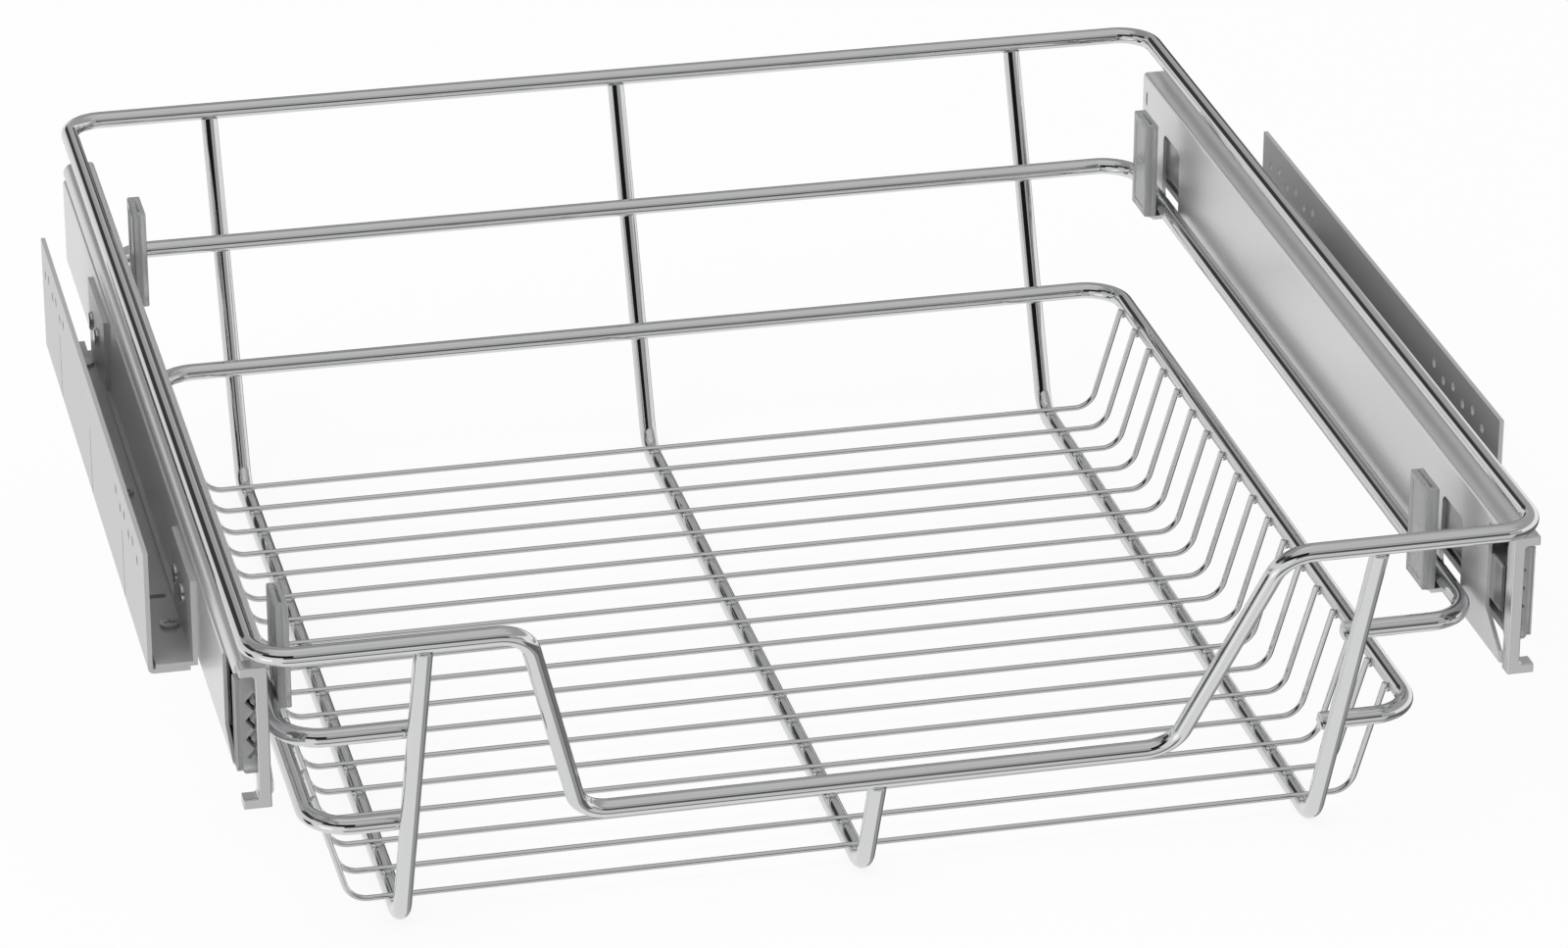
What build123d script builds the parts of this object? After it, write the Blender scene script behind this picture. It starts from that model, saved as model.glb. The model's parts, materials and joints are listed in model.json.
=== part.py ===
"""Pull-out wire basket for a base cabinet, hung between two full-extension runners.

Millimetres, +Z up.  The origin is under the middle of the basket, at the height of its lowest
wires; X runs across the cabinet, the basket pulls out towards -Y.
Every right-hand piece is drawn at +X, and its left-hand twin is its mirror image.
"""
from math import cos, radians, tan
import os

from build123d import *

os.makedirs("parts", exist_ok=True)

# ---------------------------------------------------------------- basket: driving dimensions
BASKET_DEPTH = 567.0          # over the rim wire, front to back
BASKET_HEIGHT = 165.0         # from the lowest wire to the top of the rim
FRAME_WIRE = 7.5              # diameter of the rim, ring and bearer wires
FLOOR_WIRE = 2.5              # diameter of the thin floor wires
WELD_BITE = 0.1               # how far two welded wires sink into each other
END_WELD_BITE = 0.2           # how far a cut wire end sinks into the wire it is welded to

RIM_CORNER_R = 16.0           # bend radii are all to the wire's centre line
RING_CORNER_R = 18.0
BEARER_BEND_R = 15.0
DIP_BEND_R = 15.0
FLOOR_BEND_R = 10.0

END_LEAN = 24.4               # degrees that the front and back lean out from vertical
SIDE_LEAN = 15.7              # degrees that the thin wires lean out at the sides
RING_SPACING = 52.5           # rim to middle ring, and middle ring to lower ring
RIM_OVERHANG = 14.5           # rim wire outside the middle ring, at each side
LOWER_RING_STEP = 13.75       # lower ring inside the middle ring, at each side
BEARER_INSET = 41.25          # outer bearer's middle inside the lower ring's outside
RING_STUB_OVERRUN = 3.5       # how far a ring's front end passes the middle of the leg it is welded to
DIP_TOP_INSET = 39.5          # outer bearer's middle to the corner where the rim starts down into the dip
DIP_SLANT = 29.0              # how far each side of the dip leans in on its way down
FLOOR_WIRE_COUNT = 18
FLOOR_WIRE_REAR_GAP = 12.3    # last floor wire to the corner of the bearers' foot
FLOOR_WIRE_FRONT_GAP = 9.9
FLOOR_WIRE_OVERRUN = 1.0      # how far a floor wire's end stands above the middle of the lower ring

# ---------------------------------------------------------------- runners: driving dimensions
CABINET_WIDTH = 564.0         # clear width between the cabinet's side panels
RUNNER_THICKNESS = 12.7       # from the cabinet rail's outer face to the drawer rail's inner face
RUNNER_HEIGHT = 40.0
RUNNER_DROP = 16.0            # from the middle of the rim wire down to the cabinet rail's top
PANEL_TO_RUNNER = 20.0        # side panel to the cabinet rail, filled by the bracket
RUNNER_REAR_INSET = 33.5      # rear end of the rails, inside the rear of the rim wire
CABINET_RAIL_BACKSET = 7.0    # front end of each rail, behind the front end of the side profile
MIDDLE_RAIL_BACKSET = 31.0
DRAWER_RAIL_BACKSET = 5.0
MIDDLE_RAIL_SETBACK = 15.0    # rear end of the middle rail, ahead of the cabinet rail's
DRAWER_RAIL_SETBACK = 2.0
RAIL_SHEET = 1.5
MIDDLE_SHEET = 1.2
WEB_GAP = 0.6                 # cabinet rail's web to middle rail's web
BALL = 2.9
BALL_GAP = 0.2                # ball to race, on each side
LIP_HEIGHT = 1.6              # inturned lips that keep the balls in the cabinet rail
LIP_SETBACK = 2.6             # lips of the cabinet rail, from the drawer rail's inner face
MIDDLE_SETBACK = 3.2
MIDDLE_LIP_HEIGHT = 1.2
DRAWER_LIP_HEIGHT = 0.8
DRAWER_FLANGE_DEPTH = 8.4
CAGE_SHEET = 0.9
CAGE_WIDTH = 4.0
CAGE_LENGTH = 214.0
CAGE_HOLE_GAP = 0.1           # radial play of a ball in its cage
BALLS_PER_ROW = 5
BALL_PITCH = 46.0
OUTER_BALL_DEPTH = 7.4        # middle of the outer ball row, from the drawer rail's inner face
INNER_BALL_DEPTH = 6.6
OUTER_CAGE_Y = -1.0           # middle of each cage with the basket pushed in
INNER_CAGE_Y = 8.0
RAIL_NOSE_LENGTH = 18.0       # the cabinet rail's web is cut back this much above its nose
RAIL_NOSE_HEIGHT = 9.0

# ---------------------------------------------------------------- side profiles that carry the basket
PROFILE_SHEET = 1.8
PROFILE_DROP = 8.0            # from the middle of the rim wire down to the profile's top
PROFILE_HEIGHT = 58.5
PROFILE_TOP_WIDTH = 14.0
PROFILE_TOP_R = 4.5           # outer roll of the top flange
PROFILE_LIP = 5.2             # height of the rolled outer edge
PROFILE_FOOT_WIDTH = 4.5      # short flange along the bottom
PROFILE_BEND_R = 1.9
PROFILE_CUTBACK = 18.0        # front edge of the web, behind the end piece
PROFILE_CUT_HEIGHT = 41.0     # height of that cut, down from the top
PROFILE_CUT_SLOPE = 12.0
REAR_SLOT_HEIGHT = 7.0
REAR_SLOT_WIDTH = 2.4
REAR_SLOT_INSET = 6.0         # from the rear end
REAR_SLOT_DROP = 11.0         # from the profile's top

END_PIECE_HEIGHT = 60.5
END_PIECE_WIDTH = 11.0
END_PIECE_DEPTH = 7.0
END_PIECE_WALL = 4.9
END_PIECE_FLANGE = 4.2
END_PIECE_INNER_R = 1.6
END_PIECE_OUTER_R = 0.5
END_PIECE_FRONT = 13.5        # behind the front of the rim wire
BUFFER_THICKNESS = 4.2
BUFFER_WIDTH = 8.2
BUFFER_HEIGHT = 41.0
BUFFER_TOOTH = 4.0            # pitch of its zigzag opening
BUFFER_TEETH = 7
BUFFER_SLIT = 1.6
BUFFER_SWING = 1.6            # zigzag, each side of its middle
BUFFER_FIRST_TOOTH = 6.5      # below the buffer's top
BUFFER_CORNER_R = 1.5

# ---------------------------------------------------------------- clips that hold the middle ring
CLIP_INSET = 81.5             # middle of each clip, from the front or rear of the rim wire
CLIP_LENGTH = 21.0
CLIP_WIDTH = 5.7
CLIP_HEIGHT = 45.2
CLIP_EDGE_R = 0.8
CLIP_RING_GAP = 0.2           # clip to ring wire
RING_WEB_GAP = 2.0            # ring wire to the profile's web
CLIP_SLOT_GAP = 0.1           # tongue in its slot, on each side
CLIP_RELIEF = 0.6             # room for the inside of the hook's bend
HOOK_WIDTH = 20.0             # hook bent out of the profile's web
HOOK_RING_GAP = 0.2           # ring to the hook that carries it
HOOK_TONGUE_WIDTH = 15.0
HOOK_TONGUE_HEIGHT = 26.0
HOOK_BEND_R = 2.2
WINDOW_WIDTH = 26.0           # hole that the hook leaves in the web
WINDOW_HEIGHT = 33.2
WINDOW_CORNER_R = 4.0

# ---------------------------------------------------------------- cabinet brackets
BRACKET_SHEET = 1.9
BRACKET_LENGTH = 328.0
BRACKET_MIDDLE_Y = 1.0
BRACKET_HEIGHT = 53.0
BRACKET_DROP = 7.5            # from the middle of the rim wire down to the plate's top
BRACKET_FLOOR_WIDTH = 17.0
BRACKET_BEND_R = 2.4
INNER_ANGLE_SETBACK = 15.0    # inner angle's rear end, ahead of the outer angle's
INNER_FLOOR_GAP = 1.2         # inner angle's floor to the outer plate
EAR_LENGTH = 52.0
EAR_HEIGHT = 37.0
KERB_HEIGHT = 5.0             # low wall between the ears
SLIT_WIDTH = 1.5
SLIT_HEIGHT = 32.0
SLIT_PITCH = 101.0
SLIT_COUNT = 3
SLIT_SHIFT = 4.5              # middle slit, behind the bracket's middle
SCREW_HOLE = 4.2
SCREW_PITCH = 25.0            # hole to hole in one row
SCREW_ROW_DROP = 10.0         # from the plate's top edge to the upper row
SCREW_ROW_GAP = 2.6           # upper row to lower row
SCREW_GROUP_REAR_INSET = 43.25    # middle of each group of holes, from the bracket's end
SCREW_GROUP_FRONT_INSET = 52.0
HOLES_PER_ROW = 3
RIVET = 5.0
RIVET_HEAD = 8.4
RIVET_HEAD_HEIGHT = 1.5
RIVET_PITCH = 18.5
RIVET_INSET = 8.0             # first rivet, from the ear's rear end
RIVET_DROP = 3.0              # rivets below the middle of the rail
RIVET_PLAY = 0.05             # radial play of a shank in its hole
FLOOR_RIVET_INSET = 14.5      # from the inner angle's rear end
FLOOR_SCREW_SHIFT = -3.0      # from the bracket's middle
CAM_SCREW_INSET = 34.0        # from the bracket's front end
GUIDE_SLOT_INSET = 61.4
GUIDE_SLOT_OFFSET = 8.0       # from the runner
FASTENER_OFFSET = 6.5         # line of the screws along the floor, from the runner
GUIDE_SLOT_LENGTH = 8.0
GUIDE_SLOT_WIDTH = 3.6
CAM_HEAD = 8.0
CAM_HEAD_HEIGHT = 1.4
SMALL_SCREW_HEAD = 5.6
SMALL_SCREW = 3.0
DRIVE_WIDTH = 1.1             # screwdriver cross
DRIVE_DEPTH = 0.7

# ---------------------------------------------------------------- worked out from the above
HALF_WIRE = FRAME_WIRE / 2
PLATE_OUT = CABINET_WIDTH / 2                       # outer face of the bracket
RUNNER_OUT = PLATE_OUT - PANEL_TO_RUNNER            # outer face of the cabinet rail
RUNNER_IN = RUNNER_OUT - RUNNER_THICKNESS           # inner face of the drawer rail
PROFILE_IN = RUNNER_IN - PROFILE_SHEET              # inner face of the side profile's web
MIDDLE_RING_X = PROFILE_IN - RING_WEB_GAP - HALF_WIRE
LOWER_RING_X = MIDDLE_RING_X - LOWER_RING_STEP
BEARER_X = LOWER_RING_X + HALF_WIRE - BEARER_INSET
RIM_X = MIDDLE_RING_X + RIM_OVERHANG
RIM_Y = BASKET_DEPTH / 2 - HALF_WIRE
RIM_Z = BASKET_HEIGHT - HALF_WIRE
BEARER_Z = HALF_WIRE
FLOOR_Z = BEARER_Z + HALF_WIRE + FLOOR_WIRE / 2 - WELD_BITE
MIDDLE_RING_Z = RIM_Z - RING_SPACING
LOWER_RING_Z = MIDDLE_RING_Z - RING_SPACING
END_SLOPE = tan(radians(END_LEAN))
SIDE_SLOPE = tan(radians(SIDE_LEAN))


def leg_y(z):
    """Distance from the basket's middle to the centre line of a leaning bearer leg."""
    return RIM_Y - (RIM_Z - z) * END_SLOPE


def save(part, name):
    part.label = name
    export_step(part, f"parts/{name}.step")


def save_pair(right, name):
    """Write a right-hand piece and its mirror image."""
    with BuildPart() as left:
        add(right)
        mirror(about=Plane.YZ, mode=Mode.REPLACE)
    save(right, f"right_{name}")
    save(left.part, f"left_{name}")


def bent_wire(points, radius, diameter, closed=False):
    """A round wire along straight runs joined by bends."""
    with BuildPart() as wire:
        with BuildLine() as path:
            FilletPolyline(*points, radius=radius, close=closed)
        with BuildSketch(Plane(origin=path.line @ 0, z_dir=path.line % 0)):
            Circle(diameter / 2)
        sweep(path=path.line)
    return wire.part


# ================================================================ basket wires
def make_rim():
    dip_y = -leg_y(LOWER_RING_Z)
    dip_top_x = BEARER_X - DIP_TOP_INSET
    dip_bottom_x = dip_top_x - DIP_SLANT
    points = [
        (-RIM_X, RIM_Y, RIM_Z),
        (-RIM_X, -RIM_Y, RIM_Z),
        (-dip_top_x, -RIM_Y, RIM_Z),
        (-dip_bottom_x, dip_y, LOWER_RING_Z),
        (dip_bottom_x, dip_y, LOWER_RING_Z),
        (dip_top_x, -RIM_Y, RIM_Z),
        (RIM_X, -RIM_Y, RIM_Z),
        (RIM_X, RIM_Y, RIM_Z),
    ]
    radii = [RIM_CORNER_R] * 2 + [DIP_BEND_R] * 4 + [RIM_CORNER_R] * 2
    save(bent_wire(points, radii, FRAME_WIRE, closed=True), "top_rim_wire")


def make_ring(name, z, half_width):
    """Three-sided ring, welded inside the legs, whose front ends stop at the outer legs."""
    half_depth = leg_y(z) - (FRAME_WIRE - WELD_BITE) / cos(radians(END_LEAN))
    stub_x = BEARER_X - RING_STUB_OVERRUN
    points = [
        (-stub_x, -half_depth, z),
        (-half_width, -half_depth, z),
        (-half_width, half_depth, z),
        (half_width, half_depth, z),
        (half_width, -half_depth, z),
        (stub_x, -half_depth, z),
    ]
    save(bent_wire(points, RING_CORNER_R, FRAME_WIRE), name)


def make_bearer(name, x, front_top_z):
    """Bearer wire: down the back, forward under the floor and up the front."""
    rear_top_z = RIM_Z - HALF_WIRE + END_WELD_BITE
    foot_y = leg_y(BEARER_Z)
    points = [
        (x, leg_y(rear_top_z), rear_top_z),
        (x, foot_y, BEARER_Z),
        (x, -foot_y, BEARER_Z),
        (x, -leg_y(front_top_z), front_top_z),
    ]
    save(bent_wire(points, BEARER_BEND_R, FRAME_WIRE), name)


def make_floor_wires():
    side_gap = (HALF_WIRE + FLOOR_WIRE / 2 - WELD_BITE) / cos(radians(SIDE_LEAN))
    ring_x = LOWER_RING_X - side_gap
    corner_x = ring_x - (LOWER_RING_Z - FLOOR_Z) * SIDE_SLOPE
    top_z = LOWER_RING_Z + FLOOR_WIRE_OVERRUN
    top_x = ring_x + FLOOR_WIRE_OVERRUN * SIDE_SLOPE
    first_y = leg_y(BEARER_Z) - FLOOR_WIRE_REAR_GAP
    last_y = FLOOR_WIRE_FRONT_GAP - leg_y(BEARER_Z)
    pitch = (first_y - last_y) / (FLOOR_WIRE_COUNT - 1)
    for i in range(FLOOR_WIRE_COUNT):
        y = first_y - i * pitch
        points = [(-top_x, y, top_z), (-corner_x, y, FLOOR_Z), (corner_x, y, FLOOR_Z), (top_x, y, top_z)]
        save(bent_wire(points, FLOOR_BEND_R, FLOOR_WIRE), f"floor_wire_{i + 1:02d}")


make_rim()
make_ring("middle_ring_wire", MIDDLE_RING_Z, MIDDLE_RING_X)
make_ring("lower_ring_wire", LOWER_RING_Z, LOWER_RING_X)
SIDE_LEG_TOP_Z = RIM_Z - HALF_WIRE + END_WELD_BITE
MIDDLE_LEG_TOP_Z = LOWER_RING_Z - HALF_WIRE + END_WELD_BITE
make_bearer("left_bearer_wire", -BEARER_X, SIDE_LEG_TOP_Z)
make_bearer("middle_bearer_wire", 0, MIDDLE_LEG_TOP_Z)
make_bearer("right_bearer_wire", BEARER_X, SIDE_LEG_TOP_Z)
make_floor_wires()

# ================================================================ runners, right-hand side
RUNNER_TOP = RIM_Z - RUNNER_DROP
RUNNER_MID_Z = RUNNER_TOP - RUNNER_HEIGHT / 2
CABINET_HALF = RUNNER_HEIGHT / 2
MIDDLE_HALF = CABINET_HALF - RAIL_SHEET - BALL - 2 * BALL_GAP
DRAWER_HALF = MIDDLE_HALF - MIDDLE_SHEET - BALL - 2 * BALL_GAP
PROFILE_TOP = RIM_Z - PROFILE_DROP
END_PIECE_Y = -BASKET_DEPTH / 2 + END_PIECE_FRONT   # front face of the end piece
PROFILE_FRONT_Y = END_PIECE_Y + END_PIECE_DEPTH
RUNNER_REAR_Y = BASKET_DEPTH / 2 - RUNNER_REAR_INSET


def across_y(y):
    """Plane square to Y, with X to the right, the runner's middle as its level, facing the front."""
    return Plane(origin=(0, y, RUNNER_MID_Z), x_dir=(1, 0, 0), z_dir=(0, -1, 0))


def box_between(low, high, mode=Mode.ADD):
    """Box from its lowest to its highest corner, in the builder that is open."""
    with Locations(tuple((a + b) / 2 for a, b in zip(low, high))):
        Box(*[b - a for a, b in zip(low, high)], mode=mode)


def channel(web_x, depth, half_height, sheet, lip, rear_y, length):
    """A channel rail along Y; depth is signed, from the web's outer face to the flanges' edges."""
    side = 1 if depth > 0 else -1
    edge, inner_edge, inner_web = web_x + depth, web_x + depth - side * sheet, web_x + side * sheet
    inner = half_height - sheet
    half = [(web_x, half_height), (edge, half_height), (edge, inner - lip), (inner_edge, inner - lip)]
    half += [(inner_edge, inner), (inner_web, inner)]
    outline = half + [(x, -z) for x, z in reversed(half)]
    with BuildPart() as rail:
        with BuildSketch(across_y(rear_y)) as section:
            with BuildLine():
                Polyline(*outline, close=True)
            make_face()
            corners = section.vertices().sort_by(Axis.X)
            fillet(corners[:2] if side > 0 else corners[-2:], sheet)
        extrude(amount=length)
    return rail.part


def make_cabinet_rail():
    front_y = PROFILE_FRONT_Y + CABINET_RAIL_BACKSET
    nose_z = RUNNER_TOP - RUNNER_HEIGHT + RAIL_NOSE_HEIGHT
    tip_z = RUNNER_TOP - RUNNER_HEIGHT + RAIL_SHEET
    with BuildPart() as rail:
        add(
            channel(
                RUNNER_OUT, LIP_SETBACK - RUNNER_THICKNESS, CABINET_HALF, RAIL_SHEET, LIP_HEIGHT,
                RUNNER_REAR_Y, RUNNER_REAR_Y - front_y,
            )
        )
        with BuildSketch(Plane.YZ.offset(RUNNER_IN)):
            with BuildLine():
                Polyline(
                    (front_y, tip_z),
                    (front_y + RAIL_NOSE_LENGTH, nose_z),
                    (front_y + RAIL_NOSE_LENGTH, RUNNER_TOP),
                    (front_y, RUNNER_TOP),
                    close=True,
                )
            make_face()
        extrude(amount=RUNNER_THICKNESS, mode=Mode.SUBTRACT)
        with Locations([Plane(origin=(RUNNER_OUT, y, RIVET_Z), z_dir=(1, 0, 0)) for y in RIVET_YS]):
            Hole(RIVET / 2, depth=RAIL_SHEET * 2)
    save_pair(rail.part, "cabinet_rail")


def make_middle_rail():
    web_x = RUNNER_OUT - RAIL_SHEET - WEB_GAP
    depth = RUNNER_IN + MIDDLE_SETBACK - web_x
    rear_y = RUNNER_REAR_Y - MIDDLE_RAIL_SETBACK
    length = rear_y - PROFILE_FRONT_Y - MIDDLE_RAIL_BACKSET
    rail = channel(web_x, depth, MIDDLE_HALF, MIDDLE_SHEET, MIDDLE_LIP_HEIGHT, rear_y, length)
    save_pair(rail, "middle_rail")


def make_drawer_rail():
    rear_y = RUNNER_REAR_Y - DRAWER_RAIL_SETBACK
    rail = channel(
        RUNNER_IN, DRAWER_FLANGE_DEPTH, DRAWER_HALF, RAIL_SHEET, DRAWER_LIP_HEIGHT,
        rear_y, rear_y - PROFILE_FRONT_Y - DRAWER_RAIL_BACKSET,
    )
    save_pair(rail, "drawer_rail")


def make_ball_cage(name, half_height, ball_x, middle_y):
    """Two rows of balls, above and below, each in a flat strip with a hole round every ball."""
    row_height = half_height + BALL_GAP + BALL / 2
    ball_ys = [middle_y + (i - (BALLS_PER_ROW - 1) / 2) * BALL_PITCH for i in range(BALLS_PER_ROW)]
    rows = [RUNNER_MID_Z - row_height, RUNNER_MID_Z + row_height]
    with BuildPart() as cage:
        with Locations([(ball_x, middle_y, z) for z in rows]):
            Box(CAGE_WIDTH, CAGE_LENGTH, CAGE_SHEET)
        with Locations([(ball_x, y, z) for y in ball_ys for z in rows]):
            Cylinder(BALL / 2 + CAGE_HOLE_GAP, 2 * CAGE_SHEET, mode=Mode.SUBTRACT)
        with Locations([(ball_x, y, z) for y in ball_ys for z in rows]):
            Sphere(BALL / 2)
    save_pair(cage.part, name)


EAR_Z = RIM_Z - BRACKET_DROP - BRACKET_HEIGHT + BRACKET_SHEET   # underside of the inner angle
BRACKET_FRONT_Y = BRACKET_MIDDLE_Y - BRACKET_LENGTH / 2
BRACKET_REAR_Y = BRACKET_MIDDLE_Y + BRACKET_LENGTH / 2
FRONT_EAR_REAR_Y = BRACKET_FRONT_Y + EAR_LENGTH
REAR_EAR_REAR_Y = BRACKET_REAR_Y - INNER_ANGLE_SETBACK
RIVET_Z = RUNNER_MID_Z - RIVET_DROP
RIVET_YS = [ear - RIVET_INSET - i * RIVET_PITCH for ear in (FRONT_EAR_REAR_Y, REAR_EAR_REAR_Y) for i in (0, 1)]

make_cabinet_rail()
make_middle_rail()
make_drawer_rail()
OUTER_BALL_X = RUNNER_IN + OUTER_BALL_DEPTH
INNER_BALL_X = RUNNER_IN + INNER_BALL_DEPTH
make_ball_cage("outer_ball_cage", MIDDLE_HALF, OUTER_BALL_X, OUTER_CAGE_Y)
make_ball_cage("inner_ball_cage", DRAWER_HALF, INNER_BALL_X, INNER_CAGE_Y)


# ================================================================ side profile and its end piece
HOOK_TOP = MIDDLE_RING_Z - HALF_WIRE - HOOK_RING_GAP    # top of the hook's foot
CLIP_OUT = MIDDLE_RING_X - HALF_WIRE - CLIP_RING_GAP
CLIP_IN = CLIP_OUT - CLIP_WIDTH
CLIP_Y = BASKET_DEPTH / 2 - CLIP_INSET
TONGUE_IN = (CLIP_IN + CLIP_OUT - PROFILE_SHEET) / 2
TONGUE_OUT = TONGUE_IN + PROFILE_SHEET


def make_side_profile():
    sheet, width = PROFILE_SHEET, PROFILE_TOP_WIDTH
    top = PROFILE_TOP - RUNNER_MID_Z
    bottom = top - PROFILE_HEIGHT
    web_out, flange_out = PROFILE_IN + sheet, PROFILE_IN + width
    lip_z = top - PROFILE_LIP
    outline = [
        (PROFILE_IN, bottom), (PROFILE_IN + PROFILE_FOOT_WIDTH, bottom),
        (PROFILE_IN + PROFILE_FOOT_WIDTH, bottom + sheet), (web_out, bottom + sheet),
        (web_out, top - sheet), (flange_out - sheet, top - sheet), (flange_out - sheet, lip_z),
        (flange_out, lip_z), (flange_out, top), (PROFILE_IN, top),
    ]
    foot_low = HOOK_TOP - sheet
    with BuildPart() as profile:
        with BuildSketch(across_y(RUNNER_REAR_Y)) as section:
            with BuildLine():
                Polyline(*outline, close=True)
            make_face()
            points = section.vertices()
            fillet(points.sort_by_distance((flange_out, top))[0], PROFILE_TOP_R)
            points = section.vertices()
            fillet(points.sort_by_distance((flange_out - sheet, top - sheet))[0], PROFILE_TOP_R - sheet)
            points = section.vertices()
            fillet(points.sort_by_distance((PROFILE_IN, top))[0], PROFILE_BEND_R)
            points = section.vertices()
            fillet(points.sort_by_distance((PROFILE_IN, bottom))[0], PROFILE_BEND_R)
        extrude(amount=RUNNER_REAR_Y - PROFILE_FRONT_Y)

        # front of the web, cut back below the top flange
        cut_low = PROFILE_TOP - PROFILE_CUT_HEIGHT
        with BuildSketch(Plane.YZ.offset(PROFILE_IN)):
            with BuildLine():
                Polyline(
                    (PROFILE_FRONT_Y, PROFILE_TOP - sheet - PROFILE_BEND_R),
                    (PROFILE_FRONT_Y + PROFILE_CUTBACK, PROFILE_TOP - sheet - PROFILE_BEND_R),
                    (PROFILE_FRONT_Y + PROFILE_CUTBACK, cut_low),
                    (PROFILE_FRONT_Y, cut_low - PROFILE_CUT_SLOPE),
                    close=True,
                )
            make_face()
        extrude(amount=sheet, mode=Mode.SUBTRACT)

        # windows, and a short slot by the rear end
        for y in (-CLIP_Y, CLIP_Y):
            with BuildSketch(Plane.YZ.offset(PROFILE_IN)):
                with Locations((y, foot_low + WINDOW_HEIGHT / 2)):
                    RectangleRounded(WINDOW_WIDTH, WINDOW_HEIGHT, WINDOW_CORNER_R)
            extrude(amount=sheet, mode=Mode.SUBTRACT)
        with BuildSketch(Plane.YZ.offset(PROFILE_IN)):
            with Locations((RUNNER_REAR_Y - REAR_SLOT_INSET, PROFILE_TOP - REAR_SLOT_DROP)):
                SlotOverall(REAR_SLOT_HEIGHT, REAR_SLOT_WIDTH, rotation=90)
        extrude(amount=sheet, mode=Mode.SUBTRACT)

        # hooks bent out of the windows: foot below the ring, tongue up inside the clip
        for y in (-CLIP_Y, CLIP_Y):
            box_between(
                (TONGUE_IN + HOOK_BEND_R, y - HOOK_WIDTH / 2, foot_low),
                (web_out, y + HOOK_WIDTH / 2, HOOK_TOP),
            )
            foot_mid = foot_low + sheet / 2
            with BuildSketch(Plane.XZ.offset(-y - HOOK_TONGUE_WIDTH / 2)):
                with BuildLine():
                    FilletPolyline(
                        (PROFILE_IN, foot_mid),
                        (TONGUE_IN + sheet / 2, foot_mid),
                        (TONGUE_IN + sheet / 2, foot_low + HOOK_TONGUE_HEIGHT),
                        radius=HOOK_BEND_R - sheet / 2,
                    )
                trace(line_width=sheet)
            extrude(amount=HOOK_TONGUE_WIDTH)
    save_pair(profile.part, "side_profile")


def make_end_piece():
    """Channel-shaped front end of the side profile, open towards the cabinet's side."""
    mid_z = PROFILE_TOP - END_PIECE_HEIGHT / 2
    end_in, end_out = RUNNER_IN, RUNNER_IN + END_PIECE_WIDTH
    with BuildPart() as piece:
        with BuildSketch(Plane(origin=(0, PROFILE_FRONT_Y, mid_z), x_dir=(1, 0, 0), z_dir=(0, -1, 0))):
            with Locations(((end_in + end_out) / 2, 0)):
                Rectangle(END_PIECE_WIDTH, END_PIECE_HEIGHT)
            with Locations(((end_in + END_PIECE_WALL + end_out) / 2, 0)):
                Rectangle(
                    END_PIECE_WIDTH - END_PIECE_WALL, END_PIECE_HEIGHT - 2 * END_PIECE_FLANGE, mode=Mode.SUBTRACT
                )
        extrude(amount=END_PIECE_DEPTH)
        lengthwise = piece.edges().filter_by(Axis.Y)
        inner = lengthwise.filter_by_position(Axis.X, end_in + END_PIECE_WALL - 0.01, end_in + END_PIECE_WALL + 0.01)
        fillet(inner, END_PIECE_INNER_R)
        fillet(piece.edges().filter_by(Axis.Y).group_by(Axis.X)[0], END_PIECE_OUTER_R)
    save_pair(piece.part, "profile_end_piece")


def make_front_buffer():
    """Thin plastic plate behind the end piece, with a zigzag opening that lets it give."""
    front_y = PROFILE_FRONT_Y
    low_x = RUNNER_IN + RAIL_SHEET
    with BuildPart() as buffer:
        with BuildSketch(Plane.XZ.offset(-front_y - BUFFER_THICKNESS)):
            with Locations((low_x + BUFFER_WIDTH / 2, RUNNER_MID_Z)):
                RectangleRounded(BUFFER_WIDTH, BUFFER_HEIGHT, BUFFER_CORNER_R)
        extrude(amount=BUFFER_THICKNESS)
        top = RUNNER_MID_Z + BUFFER_HEIGHT / 2 - BUFFER_FIRST_TOOTH
        zigzag = []
        for i in range(BUFFER_TEETH + 1):
            swing = BUFFER_SWING if i % 2 else -BUFFER_SWING
            zigzag.append((low_x + BUFFER_WIDTH / 2 + swing, top - i * BUFFER_TOOTH))
        with BuildSketch(Plane.XZ.offset(-front_y - BUFFER_THICKNESS)):
            with BuildLine():
                Polyline(*zigzag)
            trace(line_width=BUFFER_SLIT)
        extrude(amount=BUFFER_THICKNESS, mode=Mode.SUBTRACT)
    save_pair(buffer.part, "front_buffer")


def make_clip(name, y):
    """Plastic clip pushed down over a hook's tongue, beside the ring."""
    with BuildPart() as clip:
        box_between(
            (CLIP_IN, y - CLIP_LENGTH / 2, HOOK_TOP), (CLIP_OUT, y + CLIP_LENGTH / 2, HOOK_TOP + CLIP_HEIGHT)
        )
        fillet(clip.edges().filter_by(Axis.Z), CLIP_EDGE_R)
        fillet(clip.faces().sort_by(Axis.Z)[-1].edges(), CLIP_EDGE_R / 2)
        box_between(
            (TONGUE_IN - CLIP_SLOT_GAP, y - HOOK_TONGUE_WIDTH / 2 - CLIP_SLOT_GAP, HOOK_TOP),
            (TONGUE_OUT + CLIP_SLOT_GAP, y + HOOK_TONGUE_WIDTH / 2 + CLIP_SLOT_GAP, HOOK_TOP + CLIP_HEIGHT),
            mode=Mode.SUBTRACT,
        )
        box_between(
            (TONGUE_OUT, y - HOOK_TONGUE_WIDTH / 2 - CLIP_SLOT_GAP, HOOK_TOP),
            (TONGUE_OUT + CLIP_RELIEF, y + HOOK_TONGUE_WIDTH / 2 + CLIP_SLOT_GAP, HOOK_TOP + CLIP_RELIEF),
            mode=Mode.SUBTRACT,
        )
    save_pair(clip.part, name)


make_side_profile()
make_end_piece()
make_front_buffer()
make_clip("front_basket_clip", -CLIP_Y)
make_clip("rear_basket_clip", CLIP_Y)


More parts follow.
